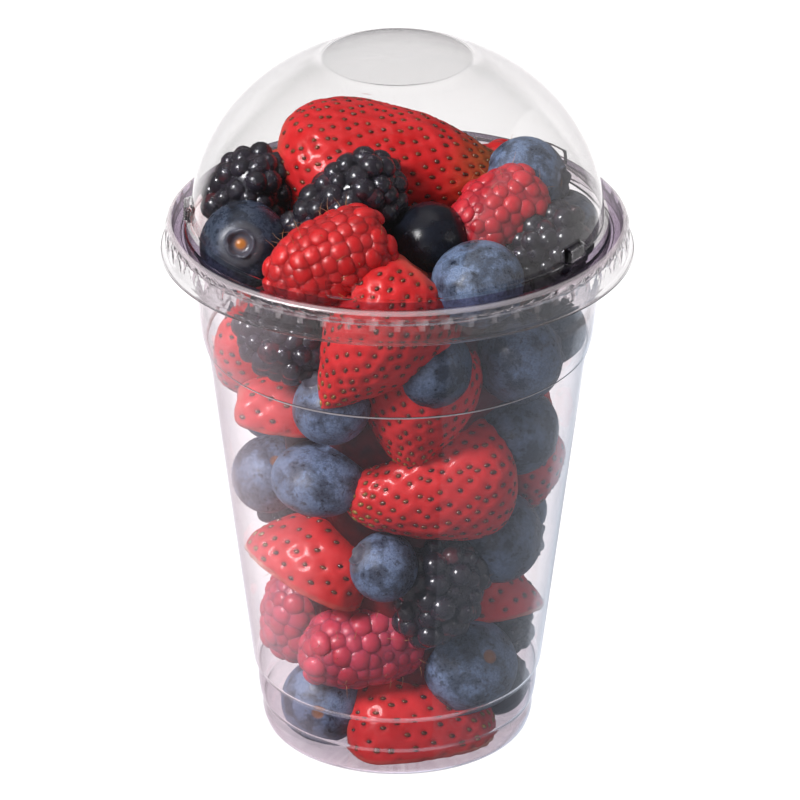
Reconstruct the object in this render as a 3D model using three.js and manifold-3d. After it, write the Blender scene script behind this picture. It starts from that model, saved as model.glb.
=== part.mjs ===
// A cup of fresh berries: a thin clear plastic cup, its clear domed lid pressed over the rim, and
// the fruit that fills both. Millimetres, +Z up, origin at the centre of the foot, front at -Y.
import * as THREE from "three";
import { mergeVertices } from "three/addons/utils/BufferGeometryUtils.js";
import Module from "manifold-3d";

const wasm = await Module();
wasm.setup();

// ---- Driving dimensions --------------------------------------------------------------------

const SIDES = 48; // flat sides round the cup and the lid
const SHEET = 0.5; // thickness of the formed plastic
const CLEARANCE = 0.35; // air left between the fruit and the plastic

const cup = {
  panelRadius: 12, // raised middle of the base
  panelHeight: 1.6,
  panelSlope: 1.6, // width of the slope round it
  footRadius: 26.6, // outer edge of the flat foot
  cornerRadius: 29.4, // where the rounded corner meets the base band
  cornerHeight: 3,
  bandHeight: 14.4, // top of the narrow base band
  bandRadius: 30.4,
  taperFoot: 31.3, // radius where the taper starts, just above the band
  taperRise: 1.6,
  taperTop: 40.2,
  shoulderHeight: 88.5, // where the stacking shoulder starts
  collarHeight: 93.5,
  collarRadius: 41.7,
  neckHeight: 105,
  neckRadius: 42.8,
  curlHeight: 117.9, // centre of the rolled rim
  curlRadius: 1.45,
  curlCentre: 46.4,
  curlStart: 180, // degrees, from the inner side over the top to the free edge
  curlEnd: -130,
  curlStep: 62,
};

const lid = {
  skirtHeight: 113.5, // bottom edge of the skirt
  skirtRadius: 50.25,
  beadHeight: 115.7, // bead that snaps below the rolled rim
  beadRadius: 48.8,
  wallRadius: 49.1, // upright wall outside the rolled rim
  wallTop: 119.2,
  brimHeight: 120.3, // flat ring over the cup's rim
  brimInner: 45.3,
  brimOuter: 48.3,
  domeRadius: 43.7, // the dome is half an ellipse
  domeCentre: 120.15,
  domeRise: 38.95,
  domeAngles: [60, 52, 44, 36, 28, 20, 11, 3], // degrees up the ellipse, top first
  discRadius: 15.7, // flat disc that closes the dome, and the step round it
  discHeight: 156.7,
  stepRadius: 17.4,
  stepHeight: 155.2,
  lugs: 5, // stacking lugs outside the foot of the dome
  firstLug: -15.4, // degrees from the front
  lugWidth: 6,
  lugDepth: 1.5,
  lugTall: 4.2,
};

// ---- Helpers -------------------------------------------------------------------------------

const degrees = Math.PI / 180;
const point = (radius, height) => new THREE.Vector2(radius, height);

// A three.js geometry as a manifold solid: only positions, shared vertices, no slivers at poles.
function solid(geometry) {
  geometry.deleteAttribute("normal");
  geometry.deleteAttribute("uv");
  const merged = mergeVertices(geometry, 1e-5);
  const index = merged.index.array;
  const triangles = [];
  for (let i = 0; i < index.length; i += 3) {
    const [a, b, c] = [index[i], index[i + 1], index[i + 2]];
    if (a !== b && b !== c && c !== a) triangles.push(a, b, c);
  }
  const vertProperties = Float32Array.from(merged.attributes.position.array);
  const triVerts = Uint32Array.from(triangles);
  return new wasm.Manifold(new wasm.Mesh({ numProp: 3, vertProperties, triVerts }));
}

// A manifold solid as a named mesh of the model.
function named(name, body, color, roughness) {
  const { vertProperties, triVerts } = body.getMesh();
  const geometry = new THREE.BufferGeometry();
  geometry.setAttribute("position", new THREE.BufferAttribute(Float32Array.from(vertProperties), 3));
  geometry.setIndex(new THREE.BufferAttribute(Uint32Array.from(triVerts), 1));
  geometry.computeVertexNormals();
  const material = new THREE.MeshStandardMaterial({ color, roughness, metalness: 0 });
  const mesh = new THREE.Mesh(geometry, material);
  mesh.name = name;
  return mesh;
}

// The profile moved sideways by a distance, to its right when that is positive, mitred at bends.
function offset(path, distance) {
  return path.map((here, i) => {
    const before = path[Math.max(i - 1, 0)];
    const after = path[Math.min(i + 1, path.length - 1)];
    const first = here.clone().sub(before).normalize();
    const second = after.clone().sub(here).normalize();
    const along = first.clone().add(second).normalize();
    const reach = distance / Math.max(along.dot(first), along.dot(second));
    return point(here.x + along.y * reach, here.y - along.x * reach);
  });
}

// A closed profile turned round the Z axis.
function turned(profile) {
  const geometry = new THREE.LatheGeometry(profile, SIDES);
  geometry.rotateX(Math.PI / 2);
  return solid(geometry);
}

// A sheet of plastic that follows a path from the axis to its free edge.
function formedSheet(path) {
  return turned([...offset(path, SHEET / 2), ...offset(path, -SHEET / 2).reverse()]);
}

// ---- Cup -----------------------------------------------------------------------------------

const CUP_FOOT = 3; // places in the path below of the outer edge of the foot and of the neck
const CUP_NECK = 10;

function cupPath() {
  const floor = SHEET / 2;
  const path = [
    point(0, cup.panelHeight + floor),
    point(cup.panelRadius, cup.panelHeight + floor),
    point(cup.panelRadius + cup.panelSlope, floor),
    point(cup.footRadius, floor),
    point(cup.cornerRadius - 0.8, cup.cornerHeight * 0.4),
    point(cup.cornerRadius, cup.cornerHeight),
    point(cup.bandRadius, cup.bandHeight),
    point(cup.taperFoot, cup.bandHeight + cup.taperRise),
    point(cup.taperTop, cup.shoulderHeight),
    point(cup.collarRadius, cup.collarHeight),
    point(cup.neckRadius, cup.neckHeight),
  ];
  for (let turn = cup.curlStart; turn >= cup.curlEnd; turn -= cup.curlStep) {
    const radius = cup.curlCentre + cup.curlRadius * Math.cos(turn * degrees);
    const height = cup.curlHeight + cup.curlRadius * Math.sin(turn * degrees);
    path.push(point(radius, height));
  }
  return path;
}

// ---- Lid -----------------------------------------------------------------------------------

function domePoint(angle) {
  const radius = lid.domeRadius * Math.cos(angle * degrees);
  return point(radius, lid.domeCentre + lid.domeRise * Math.sin(angle * degrees));
}

function lidPath() {
  return [
    point(0, lid.discHeight),
    point(lid.discRadius, lid.discHeight),
    point(lid.stepRadius, lid.stepHeight),
    ...lid.domeAngles.map(domePoint),
    point(lid.brimInner - 0.6, lid.brimHeight + 0.4),
    point(lid.brimInner, lid.brimHeight),
    point(lid.brimOuter, lid.brimHeight - 0.3),
    point(lid.wallRadius - 0.2, lid.wallTop),
    point(lid.wallRadius, lid.beadHeight + 1.6),
    point(lid.beadRadius, lid.beadHeight),
    point(lid.wallRadius + 0.4, lid.beadHeight - 0.7),
    point(lid.skirtRadius - 0.5, lid.skirtHeight + 0.7),
    point(lid.skirtRadius, lid.skirtHeight + SHEET / 2),
  ];
}

// A lug stands on the brim against the dome, at an azimuth in degrees from the front.
function lugAt(azimuth) {
  const geometry = new THREE.BoxGeometry(lid.lugWidth, lid.lugDepth, lid.lugTall);
  geometry.translate(0, -lid.domeRadius - lid.lugDepth / 2, lid.brimHeight + lid.lugTall / 2);
  geometry.rotateZ(azimuth * degrees);
  return solid(geometry);
}

function lidSolid() {
  let body = formedSheet(lidPath());
  for (let i = 0; i < lid.lugs; i += 1) body = body.add(lugAt(lid.firstLug + (360 / lid.lugs) * i));
  return body;
}

// ---- Fruit ---------------------------------------------------------------------------------

// Each fruit is turned upright at the origin, its tip or a blueberry's crown at the top, from a
// profile given as shares of its half-width and its length.
const ROUND = [[0, -0.5], [0.8, -0.33], [1, 0], [0.8, 0.33], [0, 0.5]];
const THIMBLE = [[0, -0.5], [0.86, -0.4], [1, -0.08], [0.74, 0.34], [0, 0.5]];
const HEART = [[0, -0.5], [0.8, -0.44], [1, -0.22], [0.55, 0.32], [0, 0.5]];
const FRUIT_SIDES = 8;

function fruitOf(shape, width, length) {
  const profile = shape.map(([across, along]) => point((across * width) / 2, along * length));
  const geometry = new THREE.LatheGeometry(profile, FRUIT_SIDES);
  geometry.rotateX(Math.PI / 2);
  return geometry;
}

const blueberry = (width, length) => fruitOf(ROUND, width, length);
const raspberry = (width, length) => fruitOf(THIMBLE, width, length);
const bramble = (width, length) => fruitOf(THIMBLE, width, length);
const strawberry = (width, length) => fruitOf(HEART, width, length);

// Radius of the space inside the plastic at a height, less the clearance.
const inward = -SHEET / 2 - CLEARANCE;
const inside = offset(cupPath(), inward).slice(CUP_FOOT, CUP_NECK + 1);
function roomAt(height) {
  const rise = (height - lid.domeCentre) / (lid.domeRise + inward);
  const dome = (lid.domeRadius + inward) * Math.sqrt(Math.max(1 - Math.max(rise, 0) ** 2, 0));
  const above = inside.findIndex((spot) => spot.y >= height);
  if (above < 1) return above === 0 ? inside[0].x : dome;
  const [low, high] = [inside[above - 1], inside[above]];
  const share = (height - low.y) / (high.y - low.y);
  return Math.min(low.x + share * (high.x - low.x), dome);
}

// Height of the floor inside the cup at a distance from the axis, plus the clearance.
function floorAt(across) {
  const onPanel = across < cup.panelRadius + cup.panelSlope + CLEARANCE;
  return SHEET + CLEARANCE + (onPanel ? cup.panelHeight : 0);
}

// A direction at a clock angle as seen from the front (0 is up, 90 is right), tilted frontwards.
function direction(clock, tilt) {
  return new THREE.Vector3(
    Math.cos(tilt * degrees) * Math.sin(clock * degrees),
    -Math.sin(tilt * degrees),
    Math.cos(tilt * degrees) * Math.cos(clock * degrees),
  );
}

// Flattens everything past the middle plane, which leaves a half with its cut face that way.
function halve(geometry, facing) {
  const { position } = geometry.attributes;
  const corner = new THREE.Vector3();
  for (let i = 0; i < position.count; i += 1) {
    corner.fromBufferAttribute(position, i);
    corner.addScaledVector(facing, -Math.max(corner.dot(facing), 0));
    position.setXYZ(i, corner.x, corner.y, corner.z);
  }
}

// How far a fruit reaches past the wall and below the floor.
function overlapOf(geometry) {
  const { index } = geometry;
  const { position } = geometry.attributes;
  const [start, end, spot] = [new THREE.Vector3(), new THREE.Vector3(), new THREE.Vector3()];
  const overlap = { outwards: 0, down: 0 };
  for (let i = 0; i < index.count; i += 1) {
    start.fromBufferAttribute(position, index.getX(i));
    end.fromBufferAttribute(position, index.getX(i % 3 === 2 ? i - 2 : i + 1));
    for (const share of [0, 0.25, 0.5, 0.75]) {
      spot.lerpVectors(start, end, share);
      const across = Math.hypot(spot.x, spot.y);
      overlap.outwards = Math.max(overlap.outwards, across - roomAt(spot.z));
      overlap.down = Math.max(overlap.down, floorAt(across) - spot.z);
    }
  }
  return overlap;
}

// Lays a fruit at an azimuth from the front, a height and a distance from the axis, with its tip
// at a clock angle and tilt, then pushes it in and up until it only touches wall and floor. A
// half has its cut face towards the clock angle given last.
const AT_WALL = 50;
const fruit = [];
function put(kind, width, length, azimuth, height, radius, clock, tilt, cutFace) {
  const upright = new THREE.Vector3(0, 0, 1);
  const turn = new THREE.Quaternion().setFromUnitVectors(upright, direction(clock, tilt));
  const outward = new THREE.Vector3(Math.sin(azimuth * degrees), -Math.cos(azimuth * degrees), 0);
  const geometry = kind(width, length).applyQuaternion(turn);
  if (cutFace !== undefined) halve(geometry, direction(cutFace, 0));
  geometry.translate(outward.x * radius, outward.y * radius, height);
  for (let pass = 0; pass < 6; pass += 1) {
    const overlap = overlapOf(geometry);
    geometry.translate(-outward.x * overlap.outwards, -outward.y * overlap.outwards, overlap.down);
  }
  fruit.push(solid(geometry));
}

// Under the dome.
put(strawberry, 31, 54, 180, 126, 11, 93, 8);
put(raspberry, 19, 23, 129, 120, 28, 60, 0);
put(blueberry, 19.5, 18, 102, 125.5, 28, 80, 20);
put(raspberry, 18, 24, 74, 123, 22, 250, 30);
put(bramble, 18, 22, -100, 123.5, AT_WALL, 20, 20);
put(blueberry, 19, 17, -72, 118, AT_WALL, 350, 62);
put(bramble, 17, 29, -49, 126.5, 15, 234, 10);
put(raspberry, 20, 29, -27, 122, AT_WALL, 256, 20);
put(blueberry, 18, 17, 28, 119.5, 14, 315, -30);
put(blueberry, 19.5, 18, 30, 118, AT_WALL, 165, 0);
put(bramble, 18.5, 22, 75, 117, AT_WALL, 60, 20);
put(blueberry, 16, 15, 95, 117, AT_WALL, 0, 0);

// Behind the brim and the shoulder.
put(strawberry, 24, 29, -90, 89, AT_WALL, 106, 15);
put(bramble, 18.5, 22, -49, 101, AT_WALL, 120, 20);
put(strawberry, 27, 37, -8, 106, AT_WALL, 220, 15);
put(blueberry, 18, 17, 14, 98.5, 30, 280, 0);
put(blueberry, 20, 19, 54, 96, AT_WALL, 80, -10);
put(blueberry, 16, 15, 88, 94, AT_WALL, 0, -20);
put(blueberry, 17, 16, -26, 89, AT_WALL, 330, 5);
put(strawberry, 17, 40, -50, 78.5, AT_WALL, 98, 0, 187);

// The middle of the cup.
put(blueberry, 17, 16, -90, 59, AT_WALL, 193, -41);
put(blueberry, 21, 15, -38, 68.5, AT_WALL, 185, 0);
put(strawberry, 27, 38, 19, 67, AT_WALL, 262, 15);
put(strawberry, 27, 31, 10, 89, 24, 186, 10);
put(blueberry, 19, 18, 61, 76.5, AT_WALL, 130, -5);
put(strawberry, 15, 19, 90, 60, AT_WALL, 180, 0);
put(blueberry, 20.5, 18.5, 61, 50, AT_WALL, 90, 10);
put(strawberry, 29, 28, -62, 42, AT_WALL, 292, 0, 202);
put(blueberry, 15, 14.5, -6, 50.5, AT_WALL, 305, 15);

// The foot of the cup.
put(bramble, 21, 25, 23, 41.5, AT_WALL, 200, 20);
put(raspberry, 18, 22, -92, 25, AT_WALL, 0, 10);
put(raspberry, 20.5, 30, -26, 26, AT_WALL, 260, 20);
put(strawberry, 21, 24, 82, 29.5, AT_WALL, 100, 0, 180);
put(blueberry, 21, 19.5, 48, 20, AT_WALL, 219, -44);
put(bramble, 15, 18, 92, 24, AT_WALL, 0, 0);
put(blueberry, 16, 15, 88, 8.5, AT_WALL, 70, 0);
put(blueberry, 19, 17.5, -52, 9.5, AT_WALL, 132, -78);
put(strawberry, 32, 33, 22, 1, AT_WALL, 90, 8, 180);

// The side turned away: tiers of the same fruit, drawn with a fixed seed, and smaller fruit that
// closes the gaps at both sides.
const MIXED = [strawberry, blueberry, raspberry, blueberry, bramble];
const tiers = { count: 5, bottom: 13.5, rise: 22, fruits: 4, azimuth: 127, turn: 34, stagger: 10 };
const gaps = { count: 4, bottom: 24.5, rise: 22, fruits: 2, azimuth: 110, turn: 138 };
const MODULUS = 2147483647;
let seed = 7;
function draw(low, high) {
  seed = (seed * 48271) % MODULUS;
  return low + (seed / MODULUS) * (high - low);
}

for (let tier = 0; tier < tiers.count; tier += 1) {
  for (let place = 0; place < tiers.fruits; place += 1) {
    const kind = MIXED[(tier * tiers.fruits + place) % MIXED.length];
    const width = kind === strawberry ? draw(23, 26) : draw(18, 21);
    const length = width * (kind === blueberry ? 0.9 : 1.25);
    const azimuth = tiers.azimuth + tiers.turn * place + tiers.stagger * (tier % 2) + draw(-3, 3);
    const height = tiers.bottom + tiers.rise * tier + draw(-2, 2);
    put(kind, width, length, azimuth, height, AT_WALL, draw(0, 360), draw(-20, 20));
  }
}
for (let tier = 0; tier < gaps.count; tier += 1) {
  for (let place = 0; place < gaps.fruits; place += 1) {
    const kind = MIXED[(tier * gaps.fruits + place + 1) % MIXED.length];
    const width = draw(13, 15);
    const length = width * (kind === blueberry ? 0.9 : 1.15);
    const azimuth = gaps.azimuth + gaps.turn * place + draw(-3, 3);
    const height = gaps.bottom + gaps.rise * tier;
    put(kind, width, length, azimuth, height, AT_WALL, draw(0, 360), draw(-20, 20));
  }
}
put(bramble, 19, 23, 205, 121, AT_WALL, 30, 0);
put(blueberry, 18, 17, 168, 112, AT_WALL, 0, 0);
put(strawberry, 22, 27, 240, 117, AT_WALL, 20, 0);

// The fruit that nobody sees is one plain core that the rest are fused to.
const CORE = [[0, 7], [13, 7], [17, 14], [27, 88], [28, 108], [24, 116], [0, 121]];

function coreSolid() {
  return turned(CORE.map(([radius, height]) => point(radius, height)));
}

// Keeps the largest body: loose scraps go, and hollows that the joining sealed are filled.
function largest(body) {
  const bodies = body.decompose();
  return bodies.reduce((best, next) => (next.volume() > best.volume() ? next : best));
}

function heapSolid() {
  let heap = coreSolid();
  for (const piece of fruit) heap = heap.add(piece);
  return largest(heap);
}

// ---- The model -----------------------------------------------------------------------------

const model = new THREE.Group();
model.add(named("cup", formedSheet(cupPath()), 0xeef1f2, 0.06));
model.add(named("lid", lidSolid(), 0xf0f2f4, 0.06));
model.add(named("fruit", heapSolid(), 0xa51c24, 0.4));

export default model;
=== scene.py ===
# A cup of fresh berries: a thin clear plastic cup, its clear domed lid pressed over the rolled
# rim, and the strawberries, blueberries, raspberries and brambles that fill both.
# Metres, +Z up, the foot of the cup on z = 0, the front towards -Y.
import math

import bpy
import numpy as np
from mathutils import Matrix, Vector
from mathutils.kdtree import KDTree


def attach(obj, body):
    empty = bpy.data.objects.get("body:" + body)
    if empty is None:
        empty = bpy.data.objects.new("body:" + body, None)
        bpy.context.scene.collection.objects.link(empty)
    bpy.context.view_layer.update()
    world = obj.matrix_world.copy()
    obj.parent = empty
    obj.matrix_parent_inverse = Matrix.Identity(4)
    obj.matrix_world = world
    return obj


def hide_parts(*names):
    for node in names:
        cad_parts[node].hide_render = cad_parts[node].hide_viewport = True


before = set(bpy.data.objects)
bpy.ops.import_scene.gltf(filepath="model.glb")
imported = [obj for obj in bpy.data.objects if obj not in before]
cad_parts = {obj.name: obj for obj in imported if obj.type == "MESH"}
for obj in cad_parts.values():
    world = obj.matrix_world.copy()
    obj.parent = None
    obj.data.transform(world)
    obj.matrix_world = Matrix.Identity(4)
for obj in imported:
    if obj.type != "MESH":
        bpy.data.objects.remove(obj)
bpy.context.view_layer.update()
scene = bpy.context.scene

# ---- The camera ----------------------------------------------------------------------------
# The cup is seen from the front and a little above, from more than a metre away, so that it
# keeps its taper and the heap shows through the dome.

camera_data = bpy.data.cameras.new("camera")
camera_data.lens = 270
camera_data.sensor_width = 36
camera_data.clip_start = 0.01
camera = bpy.data.objects.new("camera", camera_data)
camera.location = (0.00056, -1.1625, 0.6420)
camera.rotation_euler = (math.pi / 2 - 0.45257, 0, 0)
scene.collection.objects.link(camera)
scene.camera = camera

# ---- The cup -------------------------------------------------------------------------------
# The cup is one thin sheet of clear PET, drawn warm over a mould: a raised panel in the base, a
# short upright band, a tapered wall, a stacking shoulder, a neck and a rim rolled outwards.

MM = 0.001
PLASTIC_IOR = 1.5


def rounded(corners):
    """The line through corners of (radius, height, rounding) in mm, each bent over its rounding."""
    spots = [np.array(corner[:2], float) for corner in corners]
    line = [spots[0]]
    for before, here, after, corner in zip(spots, spots[1:], spots[2:], corners[1:]):
        back, onward = before - here, after - here
        back_length, onward_length = np.linalg.norm(back), np.linalg.norm(onward)
        reach = min(corner[2], 0.45 * back_length, 0.45 * onward_length)
        start = here + back * reach / back_length
        end = here + onward * reach / onward_length
        turn = math.pi - math.acos(np.clip(np.dot(back, onward) / back_length / onward_length, -1, 1))
        for share in np.linspace(0, 1, max(3, math.ceil(turn / math.radians(9)) + 1)):
            line.append((1 - share) ** 2 * start + 2 * share * (1 - share) * here + share**2 * end)
    line.append(spots[-1])
    return np.array(line)


def moved_aside(line, distance):
    """The line moved to its left by a distance, square to its own run."""
    step = np.diff(line, axis=0)
    step = step / np.linalg.norm(step, axis=1)[:, None]
    run = np.vstack([step[:1], step[:-1] + step[1:], step[-1:]])
    run = run / np.linalg.norm(run, axis=1)[:, None]
    bend = np.concatenate([[1.0], np.maximum((run[1:-1] * step[1:]).sum(1), 0.5), [1.0]])
    across = np.column_stack([-run[:, 1], run[:, 0]]) / bend[:, None]
    across[0] = (0, 1)
    return line + across * distance


def formed_sheet(name, outside, thickness, sides, pressed=None):
    """A closed sheet turned round the axis: its outer face follows a line from the axis to the
    free edge, and pressed(radius, height, turn) moves both faces outwards."""
    turns = np.arange(sides) * 2 * math.pi / sides
    points, rings = [], []
    for face in (outside, moved_aside(outside, thickness)):
        shift = pressed(face[1:, :1], face[1:, 1:], turns[None, :]) if pressed else 0
        radius = face[1:, :1] + shift + 0 * turns[None, :]
        height = face[1:, 1:] + 0 * turns[None, :]
        ring = np.stack([radius * np.sin(turns), -radius * np.cos(turns), height], axis=2)
        start = len(points)
        points += [(0, 0, face[0, 1])] + ring.reshape(-1, 3).tolist()
        rings.append((start, start + 1 + np.arange(ring.shape[0] * sides).reshape(-1, sides)))
    faces = []
    for (pole, grid), turn_round in zip(rings, (thickness < 0, thickness > 0)):
        loops = [grid[:-1], np.roll(grid[:-1], -1, axis=1), np.roll(grid[1:], -1, axis=1), grid[1:]]
        quads = np.stack(loops, axis=2).reshape(-1, 4)
        caps = np.column_stack([np.full(sides, pole), np.roll(grid[0], -1), grid[0]])
        faces += (quads[:, ::-1] if turn_round else quads).tolist()
        faces += (caps[:, ::-1] if turn_round else caps).tolist()
    lips = [rings[0][1][-1], rings[1][1][-1]]
    edge = np.column_stack([lips[0], lips[1], np.roll(lips[1], -1), np.roll(lips[0], -1)])
    faces += (edge if thickness < 0 else edge[:, ::-1]).tolist()
    mesh = bpy.data.meshes.new(name)
    mesh.from_pydata((np.array(points) * MM).tolist(), [], faces)
    mesh.shade_smooth()
    made = bpy.data.objects.new(name, mesh)
    scene.collection.objects.link(made)
    return made


def feed(node, given):
    """Sets a node's inputs, each to a value or to another node's output."""
    for socket, value in given.items():
        if isinstance(value, bpy.types.NodeSocket):
            node.id_data.links.new(value, node.inputs[socket])
        else:
            node.inputs[socket].default_value = value


def add(tree, kind, given=None, **settings):
    """A new node of a kind, with its settings and its inputs."""
    node = tree.nodes.new(kind)
    for setting, value in settings.items():
        setattr(node, setting, value)
    feed(node, given or {})
    return node


def result(tree, kind, given=None, **settings):
    """The first output of a new node of a kind."""
    return add(tree, kind, given, **settings).outputs[0]


def reckon(tree, operation, *values, **settings):
    """The result of one piece of arithmetic on values and outputs."""
    return result(tree, "ShaderNodeMath", dict(enumerate(values)), operation=operation, **settings)


def new_material(name):
    """An empty material with its Principled BSDF and its output."""
    finish = bpy.data.materials.new(name)
    finish.use_nodes = True
    finish.node_tree.nodes.clear()
    tree = finish.node_tree
    shader = add(tree, "ShaderNodeBsdfPrincipled")
    output = add(tree, "ShaderNodeOutputMaterial", {"Surface": shader.outputs[0]})
    return finish, tree, shader, output


def clear_plastic(name, tint, clear=1.0, roughness=0.0):
    """Clear formed sheet. Lamps and bounced light pass it straight, so the fruit is lit evenly."""
    finish, tree, shader, output = new_material(name)
    look = {"Base Color": tint, "Roughness": roughness, "IOR": PLASTIC_IOR, "Transmission Weight": clear}
    feed(shader, look)
    path = add(tree, "ShaderNodeLightPath")
    through = result(tree, "ShaderNodeBsdfTransparent")
    surface = shader.outputs[0]
    for ray in ("Is Shadow Ray", "Is Diffuse Ray"):
        given = {0: path.outputs[ray], 1: surface, 2: through}
        surface = result(tree, "ShaderNodeMixShader", given)
    feed(output, {"Surface": surface})
    return finish


CUP_SHEET = 0.4
BAND_TOP = 14.9
LEDGE = (92.2, 92.75)
PANEL_HEIGHT = 1.6
CURL_CENTRE = (46.4, 117.9)
CURL_RADIUS = 1.25
cup_corners = [
    # radius, height and rounding, from the middle of the base up to the rolled rim
    (0, PANEL_HEIGHT, 0),
    (11.7, PANEL_HEIGHT, 0.9),
    (13.5, 0, 0.9),
    (28.6, 0, 3.4),
    (29.75, 3.4, 1.2),
    (29.5, 6.3, 0.5),
    (30.15, 7.4, 0.5),
    (30.6, 10.5, 1.5),
    (30.6, 14.3, 0.35),
    (31.5, 15.6, 0.6),
    (40.4, 88.5, 0.7),
    (41.05, 92.3, 0.15),
    (41.5, 92.6, 0.15),
    (42.3, 96, 1.0),
    (43.0, 102.5, 1.0),
    (43.1, 107, 2.5),
    (44.4, 113.5, 2.5),
    (CURL_CENTRE[0] - CURL_RADIUS, CURL_CENTRE[1], 0),
]
curl = [
    (CURL_CENTRE[0] + CURL_RADIUS * math.cos(turn), CURL_CENTRE[1] + CURL_RADIUS * math.sin(turn))
    for turn in np.radians(np.arange(168, -131, -12))
]
cup_line = np.vstack([rounded(cup_corners), curl])
cup_shell = formed_sheet("cup_shell", cup_line, CUP_SHEET, sides=192)
for look in (
    ("cup_plastic", (0.97, 0.935, 0.955, 1)),
    # The next tint, darker, is painted shade for the dark seen through the bottom corner.
    ("base_plastic_painted_shade", (0.74, 0.68, 0.73, 1)),
    # The next, milky and pale, is a painted highlight along the stacking ledge.
    ("ledge_plastic_painted_highlight", (0.97, 0.91, 0.94, 1), 0.35),
):
    cup_shell.data.materials.append(clear_plastic(*look))


def middles_of(shell):
    """Distance from the axis, height and turn at the middle of each face, in mm and radians."""
    middles = np.zeros(len(shell.data.polygons) * 3)
    shell.data.polygons.foreach_get("center", middles)
    x, y, z = (middles.reshape(-1, 3) / MM).T
    return np.hypot(x, y), z, np.arctan2(x, -y)


# The sheet is tinted darker in the base and its band, as painted shade for the dark seen through the
# bottom corner, and drawn milky and pale where it bends into the stacking ledge, as a painted highlight
# for the bright line there.
up = middles_of(cup_shell)[1]
which = np.where(up < BAND_TOP, 1, np.where((up > LEDGE[0]) & (up < LEDGE[1]), 2, 0))
cup_shell.data.polygons.foreach_set("material_index", which.astype(np.int32))
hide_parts("cup")
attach(cup_shell, "root")

# ---- The lid -------------------------------------------------------------------------------
# The lid is formed from one thinner sheet: a dome closed by a small flat disc, a flat brim over
# the rolled rim, grips pressed into its wall, a plain skirt, and five stacking lugs.

LID_SHEET = 0.35
DOME_RADIUS = 43.95
DOME_RISE = 39.15
DOME_CENTRE = 120.15
WALL_INSIDE = 47.5
GRIPS = 60
GRIP_TOP = 118.7
GRIP_FOOT = 115.8
GRIP_SHARE = 0.34
GRIP_DEPTH = 1.0
LUGS = 5
FIRST_LUG = math.radians(-15.4)
LUG_HALF = 2.7
LUG_EDGE = 0.5
LUG_DEPTH = 1.5
LUG_FOOT = 120.9
LUG_TOP = 124.6


def past_grip(turn):
    """How far a turn is from the middle of the nearest grip, as a share of their spacing."""
    return np.abs(np.mod(turn * GRIPS / (2 * math.pi) + 0.5, 1) - 0.5)


def past_lug(turn, radius):
    """How far a place is from the middle of the nearest lug, in mm round the dome."""
    apart = 2 * math.pi / LUGS
    return np.abs(np.mod(turn - FIRST_LUG + apart / 2, apart) - apart / 2) * radius


def grips_and_lugs(radius, height, turn):
    """How far the wall goes in at each V-shaped grip, and the dome goes out at each lug."""
    half = GRIP_SHARE * np.clip((height - GRIP_FOOT) / (GRIP_TOP - GRIP_FOOT), 0, 1)
    in_wall = np.clip((GRIP_TOP + 0.7 - height) / 0.9, 0, 1) * (radius > WALL_INSIDE)
    grip = -GRIP_DEPTH * np.maximum(half - past_grip(turn), 0) / GRIP_SHARE * in_wall
    wide = np.clip((LUG_HALF + LUG_EDGE - past_lug(turn, radius)) / LUG_EDGE, 0, 1)
    tall = np.clip((height - LUG_FOOT) / 0.3, 0, 1) * np.clip((LUG_TOP - height) / 0.5, 0, 1)
    return grip + LUG_DEPTH * wide * tall * (radius < 45.2) * (radius > 40)


# The dome is half an ellipse, with closer rows at its foot, where the lugs are.
turns = np.radians(np.concatenate([np.arange(64, 8, -4), np.arange(7.6, 1.2, -0.45)]))
dome_line = np.column_stack([DOME_RADIUS * np.cos(turns), DOME_CENTRE + DOME_RISE * np.sin(turns)])
disc_corners = [
    (0, 156.93, 0),
    (15.8, 156.93, 0.8),
    (16.7, 156.3, 0.6),
    (17.9, 155.75, 0.5),
    tuple(dome_line[0]) + (0,),
]
brim_corners = [
    tuple(dome_line[-1]) + (0,),
    (44.2, 121.0, 0.5),
    (45.3, 120.75, 0.4),
    (48.65, 120.15, 0.9),
    (49.35, GRIP_TOP + 0.1, 0.3),
]
grip_rows = [(49.35, height) for height in np.arange(GRIP_TOP - 0.1, GRIP_FOOT - 0.2, -0.3)]
skirt_corners = [
    (49.35, 115.55, 0),
    (49.5, 114.25, 0.4),
    (50.3, 113.95, 0.12),
    (50.45, 113.52, 0),
]
lines = [rounded(disc_corners)[:-1], dome_line[:-1], rounded(brim_corners), grip_rows]
lid_line = np.vstack(lines + [rounded(skirt_corners)])
lid_shell = formed_sheet("lid_shell", lid_line, -LID_SHEET, sides=8 * GRIPS, pressed=grips_and_lugs)
for look in (
    ("lid_plastic", (0.915, 0.905, 0.905, 1)),
    # The next tint, dark purple, is painted shade for the dark seen through the brim over the rolled
    # rim.
    ("brim_plastic_painted_shade", (0.50, 0.42, 0.53, 1)),
    # The next, milky and pale, is a painted highlight for the bright bend of the brim, with real glare
    # from its rough face.
    ("shoulder_plastic_painted_highlight", (0.98, 0.91, 0.94, 1), 0.82, 0.2),
    ("wall_plastic", (0.84, 0.82, 0.83, 1), 0.97),
    # The next, near black, is a painted dark reflection on the sides of the right-hand lugs.
    ("lug_side_painted_black", (0.04, 0.035, 0.045, 1)),
    ("grip_plastic", (0.97, 0.92, 0.94, 1), 0.88, 0.12),
):
    lid_shell.data.materials.append(clear_plastic(*look))
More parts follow.
